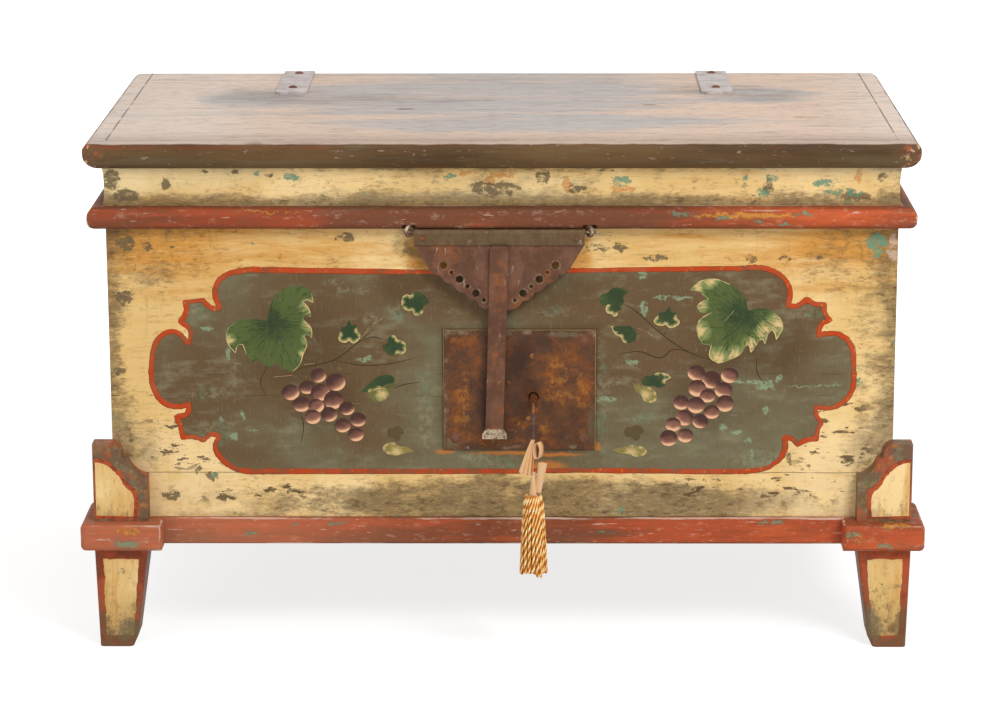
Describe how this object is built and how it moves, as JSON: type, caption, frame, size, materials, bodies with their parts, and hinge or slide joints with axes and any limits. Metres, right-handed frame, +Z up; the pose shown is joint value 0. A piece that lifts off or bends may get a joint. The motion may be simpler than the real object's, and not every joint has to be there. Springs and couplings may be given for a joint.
{
  "type": "painted chest",
  "caption": "Wooden blanket chest on short tapered legs with a hinged lid, moulded frieze, ogee corner brackets, iron hasp, working lock, key and tassel.",
  "frame": {"origin": "on the floor, under the middle of the bounding box", "axes": "+X to the right seen from the front, -Y towards the front, +Z up"},
  "size_m": [0.968, 0.594, 0.5975],
  "materials": {
    "faded_lid_paint": "faded, worn paint with dark stains",
    "dark_edge_paint": "dark olive brown paint, rubbed at the edges",
    "cream_paint": "aged cream paint with chips and dark grime",
    "bare_wood": "bare aged softwood",
    "red_paint": "worn red oxide paint",
    "bracket_paint": "cream field inside red and green-grey lines, worn",
    "leg_paint": "cream field inside a red border, worn",
    "grey_strap_iron": "grey wrought iron",
    "rusty_nail_iron": "rusty forged nails",
    "hasp_iron": "purple-brown oxidised wrought iron",
    "lock_iron": "rusty wrought iron with orange patches",
    "key_iron": "dark worn iron",
    "dark_cord": "thin dark cord",
    "cream_ribbon": "matte cream ribbon",
    "gold_cord": "twisted golden cord"
  },
  "bodies": {
    "chest": {"front_board": "cream_paint", "left_side_board": "cream_paint", "right_side_board": "cream_paint", "back_board": "bare_wood", "bottom_plank_front": "bare_wood", "bottom_plank_rear": "bare_wood", "base_rail_back": "bare_wood", "base_rail_front": "red_paint", "base_rail_left": "red_paint", "base_rail_right": "red_paint", "front_left_corner_block": "red_paint", "front_right_corner_block": "red_paint", "rear_left_corner_block": "red_paint", "rear_right_corner_block": "red_paint", "left_bracket_front": "bracket_paint", "right_bracket_front": "bracket_paint", "left_bracket_side": "bracket_paint", "right_bracket_side": "bracket_paint", "rear_left_bracket": "bracket_paint", "rear_right_bracket": "bracket_paint", "front_left_leg": "leg_paint", "front_right_leg": "leg_paint", "rear_left_leg": "leg_paint", "rear_right_leg": "leg_paint", "left_hinge_leaf": "grey_strap_iron", "right_hinge_leaf": "grey_strap_iron", "hinge_leaf_nails": "rusty_nail_iron", "lock_plate_nails": "rusty_nail_iron", "hinge_pins": "rusty_nail_iron", "lock_plate": "lock_iron", "lock_case": "lock_iron", "lock_rivets": "lock_iron"},
    "lid": {"lid_plank_front": "faded_lid_paint", "lid_plank_rear": "faded_lid_paint", "lid_edge_front": "dark_edge_paint", "lid_edge_left": "dark_edge_paint", "lid_edge_right": "dark_edge_paint", "lid_frieze_front": "cream_paint", "lid_frieze_left": "cream_paint", "lid_frieze_right": "cream_paint", "lid_frieze_back": "bare_wood", "lid_bead_front": "red_paint", "lid_bead_left": "red_paint", "lid_bead_right": "red_paint", "left_hinge_strap": "grey_strap_iron", "right_hinge_strap": "grey_strap_iron", "hinge_strap_nails": "rusty_nail_iron", "hasp_eyes": "hasp_iron", "hasp_pin": "hasp_iron"},
    "hasp": {"hasp_plate": "hasp_iron", "hasp_rivets": "hasp_iron", "hasp_bar": "hasp_iron", "hasp_staple": "hasp_iron"},
    "bolt": {"lock_bolt": "lock_iron"},
    "knot": {"tassel_knot": "dark_cord"},
    "key": {"key": "key_iron"},
    "tassel": {"tassel_cord": "dark_cord", "tassel_ribbon": "cream_ribbon", "tassel_skirt": "gold_cord"}
  },
  "joints": [
    {"name": "lid_hinge", "type": "hinge", "parent": "chest", "child": "lid", "pos_m": [0, 0.291, 0.495], "axis": [-1, 0, 0], "range_deg": [0, 105]},
    {"name": "hasp_swing", "type": "hinge", "parent": "lid", "child": "hasp", "pos_m": [-0.0025, -0.208, 0.49], "axis": [-1, 0, 0], "range_deg": [0, 115]},
    {"name": "bolt_slide", "type": "slide", "parent": "chest", "child": "bolt", "axis": [-1, 0, 0], "range_m": [0, 0.017]},
    {"name": "key_withdraw", "type": "slide", "parent": "chest", "child": "knot", "axis": [0, -1, 0], "range_m": [0, 0.07]},
    {"name": "key_turn", "type": "hinge", "parent": "knot", "child": "key", "pos_m": [0.036, -0.2805, 0.295], "axis": [0, -1, 0], "range_deg": [0, 360]},
    {"name": "tassel_swing", "type": "hinge", "parent": "knot", "child": "tassel", "pos_m": [0.036, -0.2805, 0.295], "axis": [0, -1, 0], "range_deg": [-30, 30]}
  ],
  "couplings": [
    {"joint": "key_turn", "follows": "bolt_slide", "rad_per_m": 369.6}
  ]
}
